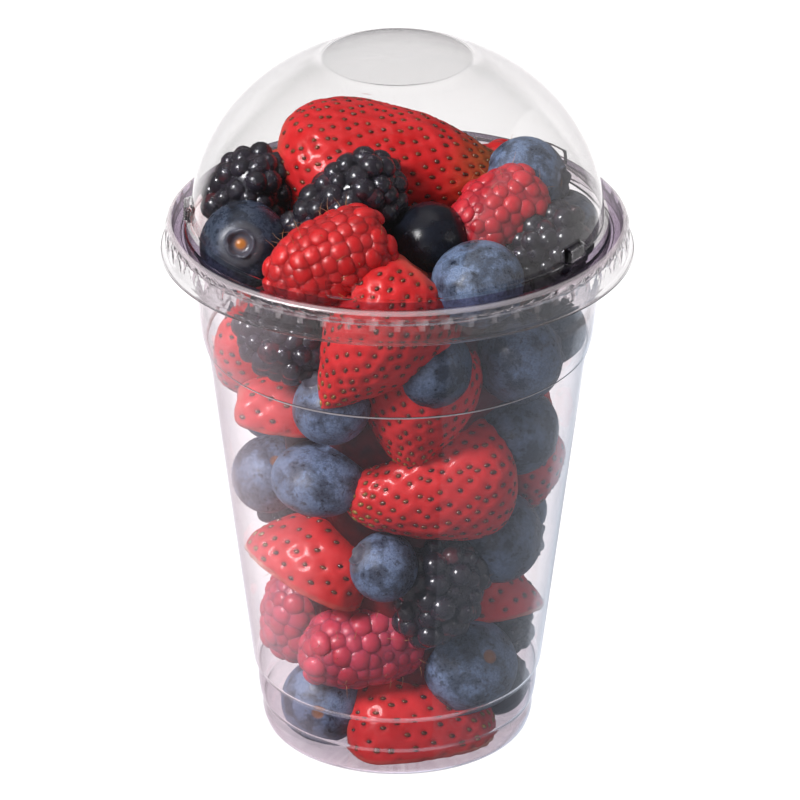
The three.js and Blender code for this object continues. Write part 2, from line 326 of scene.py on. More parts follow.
# The brim's sheet is stacked over the rolled rim and is tinted dark purple, as painted shade for the
# dark seen through it there. Its bend is drawn milky and pale so that the plastic's lamp lights it up, a
# painted highlight for the bright line there. The sides of the lugs on the right are tinted black, as a
# painted dark reflection.
BRIM, SHOULDER, WALL, LUG_SIDE, GRIP = range(1, 6)
BRIM_INNER, BRIM_OUTER, BEND_FOOT = 45.0, 47.8, 119.2
out, up, turn = middles_of(lid_shell)
which = np.zeros(len(out), np.int32)
which[(out > BRIM_INNER) & (up < 121.2)] = BRIM
which[(out > BRIM_OUTER) & (up > BEND_FOOT)] = SHOULDER
which[(out > BRIM_OUTER) & (up <= BEND_FOOT)] = WALL
grip_half = GRIP_SHARE * (up - GRIP_FOOT) / (GRIP_TOP - GRIP_FOOT)
which[(out > BRIM_OUTER) & (up < GRIP_TOP) & (past_grip(turn) < grip_half)] = GRIP
# The sides of the lugs on the right get the near-black tint, a painted dark reflection.
aside = past_lug(turn, out)
lug_side = (aside > LUG_HALF - 0.1) & (aside < LUG_HALF + LUG_EDGE + 0.1)
lug_side &= (turn > 0.2) & (out > 43) & (up > LUG_FOOT + 0.2) & (up < LUG_TOP - 0.3)
which[lug_side] = LUG_SIDE
lid_shell.data.polygons.foreach_set("material_index", which)
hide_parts("lid")
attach(lid_shell, "root")

# ---- How the fruit lies --------------------------------------------------------------------
# The fruit is tipped in by hand and packs against the wall. Each kind below is shaped upright
# with its tip up, turned, and pushed in and up until it only touches the plastic.

CLEARANCE = 0.3
AT_WALL = 50
PANEL_REACH = 13.9
# The cup's inner face, from the corner of the base up to the neck.
wall_line = moved_aside(cup_line, CUP_SHEET)
wall_line = wall_line[(wall_line[:, 1] > 0.6) & (wall_line[:, 1] < 112) & (wall_line[:, 0] > 27)]


def room_at(height):
    """Radius of the space inside the plastic at a height, less the clearance."""
    neck = np.interp(height, wall_line[:, 1], wall_line[:, 0])
    rise = np.clip((height - DOME_CENTRE) / (DOME_RISE - LID_SHEET - CLEARANCE), 0, 1)
    dome = (DOME_RADIUS - LID_SHEET) * np.sqrt(1 - rise**2)
    return np.minimum(neck, dome) - CLEARANCE


def floor_at(across):
    """Height of the base inside the cup at a distance from the axis, with the clearance."""
    return CUP_SHEET + CLEARANCE + np.where(across < PANEL_REACH, PANEL_HEIGHT, 0)


def direction(clock, tilt):
    """A direction at a clock angle as seen from the front, 0 up and 90 right, tilted frontwards."""
    clock, tilt = math.radians(clock), math.radians(tilt)
    return Vector((math.cos(tilt) * math.sin(clock), -math.sin(tilt), math.cos(tilt) * math.cos(clock)))


def turned_to(way):
    """The turn that takes upright to a direction, as a 3 by 3 array."""
    return np.array(Vector((0, 0, 1)).rotation_difference(way).to_matrix())


def outwards(azimuth):
    """The level direction from the axis at an azimuth, 0 at the front and 90 at the right."""
    azimuth = math.radians(azimuth)
    return np.array([math.sin(azimuth), -math.cos(azimuth), 0])


def laid_at(points, azimuth, height, radius, reach=0.0):
    """Where a turned fruit comes to rest when it is pressed in at an azimuth and a height. Its
    points may each stand for a bead of a given reach."""
    outward = outwards(azimuth)
    place = outward * radius + np.array([0, 0, height])
    for _ in range(8):
        spots = points + place
        across = np.hypot(spots[:, 0], spots[:, 1]) + reach
        place = place - outward * max((across - room_at(spots[:, 2])).max(), 0)
        place[2] += max((floor_at(across) - spots[:, 2] + reach).max(), 0)
    return place


def ball(cells):
    """Directions over a ball on an even grid of quads, as a cube blown up round."""
    steps = np.tan(np.linspace(-1, 1, cells + 1) * math.pi / 4)
    one, other = np.meshgrid(steps, steps, indexing="ij")
    points, quads = [], []
    index = np.arange((cells + 1) ** 2).reshape(cells + 1, cells + 1)
    square = np.stack([index[:-1, :-1], index[1:, :-1], index[1:, 1:], index[:-1, 1:]], axis=2)
    for axis in range(3):
        for side in (-1.0, 1.0):
            face = np.stack([np.full_like(one, side), one, other], axis=2).reshape(-1, 3)
            quads.append(square.reshape(-1, 4)[:, :: int(side)] + len(points) * len(face))
            points.append(np.roll(face, axis, axis=1))
    points = np.vstack(points)
    points = points / np.linalg.norm(points, axis=1)[:, None]
    _, first, back = np.unique(np.round(points, 6), axis=0, return_index=True, return_inverse=True)
    return points[first], back.ravel()[np.vstack(quads)]


def sideways(ways):
    """The level part of each direction, at unit length."""
    return ways[:, :2] / np.maximum(np.hypot(ways[:, 0], ways[:, 1]), 1e-9)[:, None]


def across_at(along, tip, end, taper, point=0.5):
    """Half-width of a fruit from its end at -1 to its tip at 1, for how blunt each is."""
    scale = np.linspace(-1, 1, 201)

    def raw(share):
        blunt = np.where(share < 0, end, tip)
        power = np.where(share < 0, 0.5, point)
        return np.maximum(1 - np.abs(share) ** blunt, 0) ** power * (1 - taper * share)

    return raw(along) / raw(scale).max()


def lumps(points, size, seed):
    """A soft random swell between -1 and 1 over points in mm, with bumps of about a size."""
    chance = np.random.default_rng(seed)
    ways = chance.normal(size=(7, 3))
    ways = ways / np.linalg.norm(ways, axis=1)[:, None] * chance.uniform(0.7, 1.5, (7, 1))
    waves = np.sin(points @ ways.T * (math.pi / size) + chance.uniform(0, 2 * math.pi, 7))
    return waves.sum(axis=1) / 3.2


def normals_of(points, quads):
    """Unit normals at the points of a quad mesh."""
    first = points[quads[:, 2]] - points[quads[:, 0]]
    second = points[quads[:, 3]] - points[quads[:, 1]]
    flat = np.cross(first, second)
    total = np.zeros_like(points)
    for corner in range(4):
        np.add.at(total, quads[:, corner], flat)
    return total / np.maximum(np.linalg.norm(total, axis=1), 1e-12)[:, None]


def piece_of(name, bodies, finishes):
    """One object from many bodies of (points in mm, faces, values at the points)."""
    start, points, faces = 0, [], []
    for body_points, body_faces, _ in bodies:
        points.append(body_points)
        faces += [[corner + start for corner in face] for face in body_faces]
        start += len(body_points)
    mesh = bpy.data.meshes.new(name)
    mesh.from_pydata((np.vstack(points) * MM).tolist(), [], faces)
    for value in bodies[0][2]:
        layer = mesh.attributes.new(value, "FLOAT", "POINT")
        layer.data.foreach_set("value", np.concatenate([body[2][value] for body in bodies]))
    mesh.shade_smooth()
    for finish in finishes:
        mesh.materials.append(finish)
    made = bpy.data.objects.new(name, mesh)
    scene.collection.objects.link(made)
    return made


# The side turned away from the front is filled in tiers of the same fruit, by one rule.
KINDS = ["strawberry", "blueberry", "raspberry", "blueberry", "bramble"]
MODULUS = 2147483647
MULTIPLIER = 48271
TIER_STEP = 22
behind = {kind: [] for kind in KINDS}
draw_state = [7]


def draw(low, high):
    """The next number of the fixed series between two limits."""
    draw_state[0] = (draw_state[0] * MULTIPLIER) % MODULUS
    return low + draw_state[0] / MODULUS * (high - low)


for tier in range(5):
    for place in range(4):
        kind = KINDS[(tier * 4 + place) % len(KINDS)]
        width = draw(23, 26) if kind == "strawberry" else draw(18, 21)
        length = width * (0.9 if kind == "blueberry" else 1.25)
        azimuth = 127 + 34 * place + 10 * (tier % 2) + draw(-3, 3)
        height = 13.5 + TIER_STEP * tier + draw(-2, 2)
        behind[kind].append((width, length, azimuth, height, AT_WALL, draw(0, 360), draw(-20, 20)))
# Two smaller ones at each level close the gaps at the sides, and three lie behind the brim.
for tier in range(4):
    for place in range(2):
        kind = KINDS[(tier * 2 + place + 1) % len(KINDS)]
        width = draw(13, 15)
        length = width * (0.9 if kind == "blueberry" else 1.15)
        azimuth = 110 + 138 * place + draw(-3, 3)
        height = 24.5 + TIER_STEP * tier
        behind[kind].append((width, length, azimuth, height, AT_WALL, draw(0, 360), draw(-20, 20)))
behind["bramble"].append((19, 23, 205, 121, AT_WALL, 30, 0))
behind["blueberry"].append((18, 17, 168, 112, AT_WALL, 0, 0))
behind["strawberry"].append((22, 27, 240, 117, AT_WALL, 20, 0))

# ---- Strawberries --------------------------------------------------------------------------
# The strawberries are hulled, so each has a hollow in its shoulder, and their seeds sit in
# dimples of the skin. Some are whole and some are halves that lie with the cut face down.

SEED_ROOM = 9.2
CUT_SEED_ROOM = 15.0
PIT_DEPTH = 0.5
PIT_SIZE = 1.0
STRAWBERRY_FORM = (2.0, 2.8, 0.38)
HOLLOW_WIDTH = 0.17
HOLLOW_DEPTH = 0.12
GOLDEN_TURN = math.radians(137.508)


def search_tree(spots):
    """A tree that finds the nearest of some points."""
    tree = KDTree(len(spots))
    for i, spot in enumerate(spots):
        tree.insert(spot, i)
    tree.balance()
    return tree


def strawberry(width, length, point, green, room, cells, seed):
    """Points, quads and seed seats of a whole strawberry, tip up, before it is turned."""
    ways, quads = ball(cells)
    along = ways[:, 2]
    across = across_at(along, *STRAWBERRY_FORM, point) * width / 2
    points = np.column_stack([sideways(ways) * across[:, None], along * length / 2])
    chance = np.random.default_rng(seed)
    stretch = chance.uniform(0.94, 1.06)
    points[:, 0] *= stretch
    points[:, 1] /= stretch
    points = points * (1 + 0.035 * lumps(points, width * 0.45, seed))[:, None]
    hollow = np.exp(-((across / (HOLLOW_WIDTH * width)) ** 2)) * (along < 0)
    points[:, 2] += HOLLOW_DEPTH * length * hollow
    points = points + 0.12 * lumps(points, 3.0, seed + 50)[:, None] * normals_of(points, quads)
    scale = np.linspace(-0.9, 0.995, 400)
    profile = across_at(scale, *STRAWBERRY_FORM, point) * width / 2
    run = np.hypot(np.diff(profile), np.diff(scale) * length / 2)
    crowded = 1 + 0.9 * np.clip((scale[1:] - 0.45) / 0.5, 0, 1)
    cover = np.cumsum(2 * math.pi * (profile[1:] + profile[:-1]) / 2 * run * crowded)
    count = int(cover[-1] / room)
    order = np.arange(count)
    at = np.interp((order + 0.5) / count * cover[-1], cover, scale[1:])
    spin = order * GOLDEN_TURN + chance.normal(0, 0.04, count)
    reach = across_at(at, *STRAWBERRY_FORM, point) * width / 2
    seats = np.column_stack([reach * np.sin(spin), reach * np.cos(spin), at * length / 2])
    seats = seats + chance.normal(0, 0.1, seats.shape)
    tree = search_tree(points)
    seated = np.array(sorted({tree.find(seat)[1] for seat in seats}))
    pits = search_tree(points[seated])
    gap = np.array([pits.find(spot)[2] for spot in points])
    pit = np.exp(-((gap / PIT_SIZE) ** 2))
    depth = PIT_DEPTH * chance.uniform(0.75, 1.15)
    points = points - depth * pit[:, None] * normals_of(points, quads)
    normals = normals_of(points, quads)
    values = {
        "along": along,
        "pit": pit,
        "hollow": np.clip(hollow, 0, 1),
        "green": np.full(len(points), green),
        "flesh": np.zeros(len(points)),
        "across_cut": np.zeros(len(points)),
    }
    return points, quads, values, points[seated], normals[seated], along[seated]


whole_berries = [
    # width, length, azimuth, height, distance from the axis, clock angle and tilt of the tip, how
    # pointed the tip is and how green
    (31, 54, 180, 126, 11, 93, 8, 0.5, 1.0),
    (24, 29, -90, 89, AT_WALL, 106, 15, 0.55, 0.0),
    (27, 37, -8, 106, AT_WALL, 220, 15, 0.8, 0.0),
    (27, 38, 19, 67, AT_WALL, 262, 15, 0.38, 0.0),
    (27, 31, 10, 89, 24, 186, 10, 0.45, 0.0),
    (15, 19, 90, 60, AT_WALL, 180, 0, 0.5, 0.0),
]
whole_berries += [berry + (0.6, 0.3) for berry in behind["strawberry"]]
half_berries = [
    # the same, and the clock angle of the cut face
    (17, 40, -50, 78.5, AT_WALL, 98, 0, 0.6, 0.0, 187),
    (29, 28, -62, 42, AT_WALL, 292, 0, 0.5, 0.0, 202),
    (21, 24, 82, 29.5, AT_WALL, 100, 0, 0.5, 0.0, 180),
    (32, 33, 22, 1, AT_WALL, 90, 8, 0.3, 0.0, 180),
]
seed_seats = []


def laid_strawberry(berry, seed):
    """A strawberry laid in the cup, halved if a cut is given. Its seeds go on the list."""
    width, length, azimuth, height, radius, clock, tilt, point, green, *cuts = berry
    cells = int(np.clip(math.sqrt(width * length) * 1.15, 24, 44))
    room = CUT_SEED_ROOM if cuts else SEED_ROOM
    shape = strawberry(width, length, point, green, room, cells, seed)
    points, quads, values, seats, facings, along = shape
    turn = turned_to(direction(clock, tilt))
    points, seats, facings = points @ turn.T, seats @ turn.T, facings @ turn.T
    towards = np.tile(turn[:, 2], (len(seats), 1))
    for cut in cuts:
        facing = np.array(direction(cut, 0))
        past = points @ facing
        side = np.cross(facing, turn[:, 2])
        values["flesh"] = (past > -0.05).astype(float)
        values["across_cut"] = (points @ side) / (width / 2)
        crown = 0.5 * np.clip(past, 0, 1.5)
        points = points - np.outer(np.maximum(past, 0) - crown, facing)
        kept = seats @ facing < -0.6
        seats, facings, towards, along = seats[kept], facings[kept], towards[kept], along[kept]
    place = laid_at(points, azimuth, height, radius)
    lifted = seats + place + facings * 0.1
    seed_seats.append({"place": lifted, "facing": facings, "towards": towards, "tone": along})
    return points + place, quads.tolist(), values


whole_bodies = [laid_strawberry(berry, seed=11 + i) for i, berry in enumerate(whole_berries)]
half_bodies = [laid_strawberry(berry, seed=41 + i) for i, berry in enumerate(half_berries)]


def colour_mix(tree, share, one, other):
    """A colour between two, each a colour or an output."""
    return add(tree, "ShaderNodeMix", {0: share, 6: one, 7: other}, data_type="RGBA").outputs[2]


def value_at(tree, name):
    """A value that the mesh carries at its points."""
    return add(tree, "ShaderNodeAttribute", attribute_name=name).outputs["Fac"]


def spread(tree, source, low, high, to_low=0.0, to_high=1.0):
    """A value's range from low to high, spread over a new range and held at its ends."""
    given = {0: source, 1: low, 2: high, 3: to_low, 4: to_high}
    return result(tree, "ShaderNodeMapRange", given, interpolation_type="SMOOTHSTEP")


def mottled(tree, clouds, low, high, one, other):
    """Two colours in soft patches, parted where the clouds go from low to high."""
    return colour_mix(tree, spread(tree, clouds, low, high), one, other)


def bumps(tree, specks, strength, depth):
    """Normals roughened by fine specks."""
    given = {"Height": specks, "Strength": strength, "Distance": depth}
    return result(tree, "ShaderNodeBump", given)


def socket_in(tree, name, kind, value=None):
    """A named input of a node group."""
    made = tree.interface.new_socket(name, in_out="INPUT", socket_type="NodeSocket" + kind)
    if value is not None:
        made.default_value = value


def clouds_group():
    """Soft clouds and fine specks over a fruit's skin, from the object's own coordinates."""
    group = bpy.data.node_groups.new("skin_clouds", "ShaderNodeTree")
    socket_in(group, "Cloud size", "Float", 6.0)
    socket_in(group, "Speck size", "Float", 0.5)
    for name in ("Clouds", "Specks"):
        group.interface.new_socket(name, in_out="OUTPUT", socket_type="NodeSocketFloat")
    start = add(group, "NodeGroupInput").outputs
    end = add(group, "NodeGroupOutput")
    place = add(group, "ShaderNodeTexCoord").outputs["Object"]
    for name, size, detail in (("Clouds", "Cloud size", 4.0), ("Specks", "Speck size", 2.0)):
        scale = reckon(group, "DIVIDE", 1 / MM, start[size])
        given = {"Vector": place, "Scale": scale, "Detail": detail, "Roughness": 0.6}
        feed(end, {name: result(group, "ShaderNodeTexNoise", given)})
    return group


skin_clouds = clouds_group()


def clouds_in(tree, cloud_size, speck_size):
    """The skin clouds with sizes in mm."""
    sizes = {"Cloud size": cloud_size, "Speck size": speck_size}
    node = add(tree, "ShaderNodeGroup", sizes, node_tree=skin_clouds)
    return node.outputs["Clouds"], node.outputs["Specks"]


strawberry_skin, tree, shader, _ = new_material("strawberry_skin")
clouds, specks = clouds_in(tree, 9.0, 0.45)
ripe = mottled(tree, clouds, 0.35, 0.65, (0.66, 0.012, 0.014, 1), (0.80, 0.03, 0.035, 1))
shoulder = spread(tree, value_at(tree, "along"), -0.98, -0.80, 0.5, 0.0)
skin = colour_mix(tree, shoulder, ripe, (0.75, 0.20, 0.13, 1))
tip_green = spread(tree, value_at(tree, "along"), 0.35, 0.75, 0.0, 0.75)
tip_green = reckon(tree, "MULTIPLY", tip_green, value_at(tree, "green"))
skin = colour_mix(tree, tip_green, skin, (0.22, 0.10, 0.02, 1))
# The dimples round the seeds are coloured darker red, painted shade in the hollows.
pit_painted_shade = spread(tree, value_at(tree, "pit"), 0.25, 1.0, 0.0, 0.85)
skin = colour_mix(tree, pit_painted_shade, skin, (0.30, 0.008, 0.010, 1))
# The cut face is pale in its core, with streaks that run from the shoulder to the tip.
on_cut = {0: value_at(tree, "across_cut"), 1: value_at(tree, "along")}
streaks = {"Vector": result(tree, "ShaderNodeCombineXYZ", on_cut), "Scale": 9.0, "Detail": 3.0}
streaked = spread(tree, result(tree, "ShaderNodeTexNoise", streaks), 0.3, 0.6, 0.5, 1.0)
from_core = reckon(tree, "ABSOLUTE", value_at(tree, "across_cut"))
paleness = reckon(tree, "MULTIPLY", spread(tree, from_core, 0.12, 0.75, 0.85, 0.05), streaked)
flesh = colour_mix(tree, paleness, (0.62, 0.05, 0.04, 1), (0.86, 0.56, 0.42, 1))
skin = colour_mix(tree, value_at(tree, "flesh"), skin, flesh)
hulled = spread(tree, value_at(tree, "hollow"), 0.3, 0.8)
strawberry_look = {
    "Base Color": colour_mix(tree, hulled, skin, (0.84, 0.58, 0.42, 1)),
    "Roughness": spread(tree, specks, 0.3, 0.7, 0.40, 0.55),
    "Normal": bumps(tree, specks, 0.12, 0.0003),
    "Specular IOR Level": 0.15,
    "Subsurface Weight": 0.25,
    "Subsurface Radius": (1.0, 0.15, 0.08),
    "Subsurface Scale": 0.003,
    "Coat Weight": 0.3,
    "Coat Roughness": 0.15,
}
feed(shader, strawberry_look)

strawberries = piece_of("strawberries", whole_bodies, [strawberry_skin])
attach(strawberries, "root")
halved_strawberries = piece_of("halved_strawberries", half_bodies, [strawberry_skin])
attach(halved_strawberries, "root")

# ---- Strawberry seeds ----------------------------------------------------------------------
# Each seed is a small hard teardrop, about 1.3 mm long, lying in its dimple with its point to
# the shoulder. They are golden to dark brown, and greener near the tip.


def named_value(tree, name, kind="FLOAT"):
    """A value carried by the seats."""
    given = {"Name": name}
    return add(tree, "GeometryNodeInputNamedAttribute", given, data_type=kind).outputs["Attribute"]


def stand_up(tree):
    """The turn that stands a shape on its seat and points its X to the tip."""
    align = "FunctionNodeAlignRotationToVector"
    facing = named_value(tree, "facing", "FLOAT_VECTOR")
    towards = named_value(tree, "towards", "FLOAT_VECTOR")
    upright = result(tree, align, {"Vector": facing}, axis="Z")
    return result(tree, align, {"Rotation": upright, "Vector": towards}, axis="X", pivot_axis="Z")


def varied(tree, low, high, seed):
    """A random vector for each seat."""
    given = {"Min": low, "Max": high, "Seed": seed}
    return result(tree, "FunctionNodeRandomValue", given, data_type="FLOAT_VECTOR")


def scaled(tree, vector, factor):
    """A vector times a value."""
    return result(tree, "ShaderNodeVectorMath", {0: vector, 3: factor}, operation="SCALE")


def planted(tree, seats, shape, turn, size, **more):
    """A shape set on the seats and made real."""
    given = {"Points": seats, "Instance": shape, "Rotation": turn, "Scale": size, **more}
    placed = result(tree, "GeometryNodeInstanceOnPoints", given)
    return result(tree, "GeometryNodeRealizeInstances", {0: placed})


def coated(tree, shape, finish):
    """A shape in one material."""
    return result(tree, "GeometryNodeSetMaterial", {"Geometry": shape, "Material": finish})


def joined(tree, *shapes):
    """Several shapes as one."""
    node = add(tree, "GeometryNodeJoinGeometry")
    for shape in shapes:
        feed(node, {0: shape})
    return node.outputs[0]


def new_growth(name, inputs):
    """A Geometry Nodes tree with its ends, and its inputs of (name, kind, value if any)."""
    tree = bpy.data.node_groups.new(name, "GeometryNodeTree")
    tree.is_modifier = True
    socket_in(tree, "Seats", "Geometry")
    tree.interface.new_socket("Grown", in_out="OUTPUT", socket_type="NodeSocketGeometry")
    for row in inputs:
        socket_in(tree, *row)
    return tree, add(tree, "NodeGroupInput").outputs


def together(seats):
    """One table of seats from those of many fruits."""
    return {value: np.concatenate([rows[value] for rows in seats]) for value in seats[0]}


def grown_on(name, tree, seats, inputs):
    """Runs a tree on seats in mm and keeps the result as a plain object."""
    cloud = bpy.data.meshes.new(name)
    cloud.vertices.add(len(seats["place"]))
    cloud.vertices.foreach_set("co", (seats["place"] * MM).ravel())
    for value, numbers in seats.items():
        if value == "place":
            continue
        kind, part = ("FLOAT_VECTOR", "vector") if numbers.ndim == 2 else ("FLOAT", "value")
        layer = cloud.attributes.new(value, kind, "POINT")
        layer.data.foreach_set(part, numbers.ravel())
    holder = bpy.data.objects.new(name + "_seats", cloud)
    scene.collection.objects.link(holder)
    growth = holder.modifiers.new("growth", "NODES")
    growth.node_group = tree
    for item in tree.interface.items_tree:
        if item.in_out == "INPUT" and item.name in inputs:
            growth[item.identifier] = inputs[item.name]
    bpy.context.view_layer.update()
    final = holder.evaluated_get(bpy.context.evaluated_depsgraph_get())
    grown = bpy.data.meshes.new_from_object(final)
    bpy.data.objects.remove(holder)
    grown.name = name
    made = bpy.data.objects.new(name, grown)
    scene.collection.objects.link(made)
    return made


seed_inputs = [("Length", "Float", 0.0015), ("Seed", "Int", 3), ("Finish", "Material")]
seed_growth, start = new_growth("seed_growth", seed_inputs)
sphere = {"Segments": 7, "Rings": 4, "Radius": 0.5}
kernel = result(seed_growth, "GeometryNodeMeshUVSphere", sphere)
slim = {"Geometry": kernel, "Scale": (1.0, 0.62, 0.5)}
kernel = result(seed_growth, "GeometryNodeTransform", slim)
vary = varied(seed_growth, (0.8, 0.85, 0.8), (1.15, 1.1, 1.2), start["Seed"])
size = scaled(seed_growth, vary, start["Length"])
seeds = planted(seed_growth, start["Seats"], kernel, stand_up(seed_growth), size)
seeds = result(seed_growth, "GeometryNodeSetShadeSmooth", {0: seeds})
add(seed_growth, "NodeGroupOutput", {"Grown": coated(seed_growth, seeds, start["Finish"])})

seed_coat, tree, shader, _ = new_material("seed_coat")
clouds, specks = clouds_in(tree, 3.0, 0.6)
golden = mottled(tree, clouds, 0.35, 0.65, (0.20, 0.055, 0.014, 1), (0.055, 0.010, 0.005, 1))
near_tip = spread(tree, value_at(tree, "tone"), 0.6, 1.0)
seed_look = {
    "Base Color": colour_mix(tree, near_tip, golden, (0.34, 0.20, 0.03, 1)),
    "Roughness": spread(tree, specks, 0.3, 0.7, 0.2, 0.4),
    "Coat Weight": 0.6,
    "Coat Roughness": 0.08,
}
feed(shader, seed_look)

settings = {"Finish": seed_coat}
strawberry_seeds = grown_on("strawberry_seeds", seed_growth, together(seed_seats), settings)
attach(strawberry_seeds, "root")

# ---- Blueberries ---------------------------------------------------------------------------
# A blueberry is a slightly flattened ball with a five-lobed crown at one end and a small stem
# scar at the other. Its black skin is dusted with pale bloom, rubbed off in patches.

CROWN_SIDES = 50
# The crown's rows, as shares of the half-width: distance from the axis, height over the body's
# edge, how far the lobes lift and how far they flare.
CROWN_ROWS = np.array(
    [
        (0.045, -0.040, 0, 0),
        (0.09, -0.055, 0, 0),
        (0.14, -0.060, 0, 0),
        (0.19, -0.055, 0, 0),
        (0.225, -0.030, 0, 0),
        (0.250, 0.005, 0.3, 0.2),
        (0.270, 0.022, 1.0, 0.8),
        (0.295, 0.026, 1.0, 1.0),
        (0.325, 0.014, 0.35, 0.5),
        (0.360, -0.006, 0, 0),
    ]
)
CROWN_LIFT = 0.06
CROWN_FLARE = 0.05
# The scar's rows, as shares of the half-width and of half the length.
STEM_ROWS = ((0.22, -0.965), (0.16, -0.972), (0.13, -0.955), (0.09, -0.935), (0.05, -0.94))


def blueberry(width, length, bloom, orange, seed):
    """Points, faces and values of one blueberry, crown up."""
    half, tall = width / 2, length / 2
    chance = np.random.default_rng(seed)
    turns = np.arange(CROWN_SIDES) * 2 * math.pi / CROWN_SIDES
    worn = 0.75 + 0.45 * np.sin(turns * 2 + chance.uniform(0, 6)) * np.sin(turns + chance.uniform(0, 6))
    lobes = (0.5 + 0.5 * np.cos(5 * turns)) ** 0.8 * np.clip(worn, 0.15, 1.2)
    edge = tall * math.sqrt(1 - CROWN_ROWS[-1, 0] ** 2)
    rows = []
    for across, height, lift, flare in CROWN_ROWS:
        ring = (across + flare * CROWN_FLARE * lobes) * half
        rows.append((ring, edge + (height + lift * CROWN_LIFT * lobes) * half))
    even = np.ones(CROWN_SIDES)
    for angle in np.linspace(math.asin(0.40), math.pi - 0.30, 22):
        rows.append((half * math.sin(angle) * even, tall * math.cos(angle) * even))
    for across, height in STEM_ROWS:
        rows.append((across * half * even, height * tall * even))
    points = [np.array([[0, 0, edge - 0.03 * half]])]
    for ring, height in rows:
        points.append(np.column_stack([ring * np.cos(turns), ring * np.sin(turns), height]))
    points.append(np.array([[0, 0, -0.94 * tall]]))
    points = np.vstack(points)
    across = np.hypot(points[:, 0], points[:, 1]) / half
    up = points[:, 2] > 0
    crown = np.clip((0.37 - across) / 0.04, 0, 1) * up
    values = {
        "crown": crown,
        "middle": np.clip((0.15 - across) / 0.07, 0, 1) * up * orange,
        "scar": np.clip((0.16 - across) / 0.04, 0, 1) * ~up * orange,
        "ring": np.exp(-(((across - 0.42) / 0.13) ** 2)) * up,
        "bloom": np.full(len(points), bloom),
    }
    points = points * (1 + 0.018 * lumps(points, half, seed))[:, None]
    last = len(points) - 1
    grid = 1 + np.arange(len(rows) * CROWN_SIDES).reshape(-1, CROWN_SIDES)
    loops = [grid[:-1], grid[1:], np.roll(grid[1:], -1, axis=1), np.roll(grid[:-1], -1, axis=1)]
    faces = np.stack(loops, axis=2).reshape(-1, 4).tolist()
    faces += np.column_stack([np.zeros(CROWN_SIDES, int), grid[0], np.roll(grid[0], -1)]).tolist()
    faces += np.column_stack([np.full(CROWN_SIDES, last), np.roll(grid[-1], -1), grid[-1]]).tolist()
    return points, faces, values


blueberries_laid = [
    # width, length, azimuth, height, distance, clock and tilt of the crown, bloom, orange
    (19.5, 18, 102, 125.5, 28, 80, 20, 1.1, 0.2),
    (19, 17, -72, 118, AT_WALL, 350, 62, 0.28, 1.0),
    (18, 17, 28, 119.5, 14, 315, -30, 0.03, 0.0),
    (19.5, 18, 30, 118, AT_WALL, 165, 0, 1.0, 0.0),
    (16, 15, 95, 117, AT_WALL, 0, 0, 0.5, 0.0),
    (18, 17, 14, 98.5, 30, 280, 0, 0.45, 0.0),
    (20, 19, 54, 96, AT_WALL, 80, -10, 0.6, 0.0),
    (16, 15, 88, 94, AT_WALL, 0, -20, 0.2, 0.0),
    (17, 16, -26, 89, AT_WALL, 330, 5, 1.0, 0.0),
    (17, 16, -90, 59, AT_WALL, 193, -41, 0.9, 1.0),
    (21, 15, -38, 68.5, AT_WALL, 185, 0, 1.0, 0.0),
    (19, 18, 61, 76.5, AT_WALL, 130, -5, 0.55, 0.0),
    (20.5, 18.5, 61, 50, AT_WALL, 90, 10, 0.6, 0.0),
    (15, 14.5, -6, 50.5, AT_WALL, 305, 15, 0.95, 0.0),
    (21, 19.5, 48, 20, AT_WALL, 219, -44, 0.9, 1.0),
    (19, 17.5, -52, 9.5, AT_WALL, 132, -78, 1.2, 1.0),
    # The last, nearly bare of bloom, lies low at the right as a dark filler, painted shade for the dark
    # seen there through the bottom corner.
    (16, 15, 88, 8.5, AT_WALL, 70, 0, 0.1, 0.0),
]
blueberries_laid += [berry + (0.6, 0.3) for berry in behind["blueberry"]]
blue_bodies = []
for i, (width, length, *place, clock, tilt, bloom, orange) in enumerate(blueberries_laid):
    points, faces, values = blueberry(width, length, bloom, orange, seed=70 + i)
    c, s = math.cos(i * 1.3), math.sin(i * 1.3)
    spin = np.array([[c, -s, 0], [s, c, 0], [0, 0, 1]])
    points = points @ spin.T @ turned_to(direction(clock, tilt)).T
    blue_bodies.append((points + laid_at(points, *place), faces, values))

blueberry_skin, tree, shader, _ = new_material("blueberry_skin")
clouds, specks = clouds_in(tree, 5.0, 0.3)
rubs, fine = clouds_in(tree, 1.8, 0.7)
powder = spread(tree, clouds, 0.38, 0.62, 0.25, 1.1)
powder = reckon(tree, "MULTIPLY", powder, spread(tree, rubs, 0.58, 0.68, 1.0, 0.35))
powder = reckon(tree, "MULTIPLY", powder, value_at(tree, "bloom"))
grain = spread(tree, fine, 0.3, 0.7, 0.7, 1.2)
powder = reckon(tree, "MULTIPLY", powder, grain, use_clamp=True)
dust = mottled(tree, specks, 0.35, 0.65, (0.115, 0.175, 0.31, 1), (0.20, 0.27, 0.42, 1))
skin = colour_mix(tree, powder, (0.0045, 0.005, 0.010, 1), dust)
ring = spread(tree, value_at(tree, "ring"), 0.3, 1.0, 0.0, 0.5)
skin = colour_mix(tree, ring, skin, (0.16, 0.16, 0.18, 1))
skin = colour_mix(tree, value_at(tree, "crown"), skin, (0.09, 0.09, 0.12, 1))
skin = colour_mix(tree, value_at(tree, "middle"), skin, (0.62, 0.22, 0.04, 1))
blueberry_look = {
    "Base Color": colour_mix(tree, value_at(tree, "scar"), skin, (0.30, 0.12, 0.05, 1)),
    "Roughness": spread(tree, powder, 0.0, 0.7, 0.2, 0.55),
    "Specular IOR Level": 0.35,
    "Normal": bumps(tree, specks, 0.1, 0.0003),
}
feed(shader, blueberry_look)

blueberries = piece_of("blueberries", blue_bodies, [blueberry_skin])
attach(blueberries, "root")

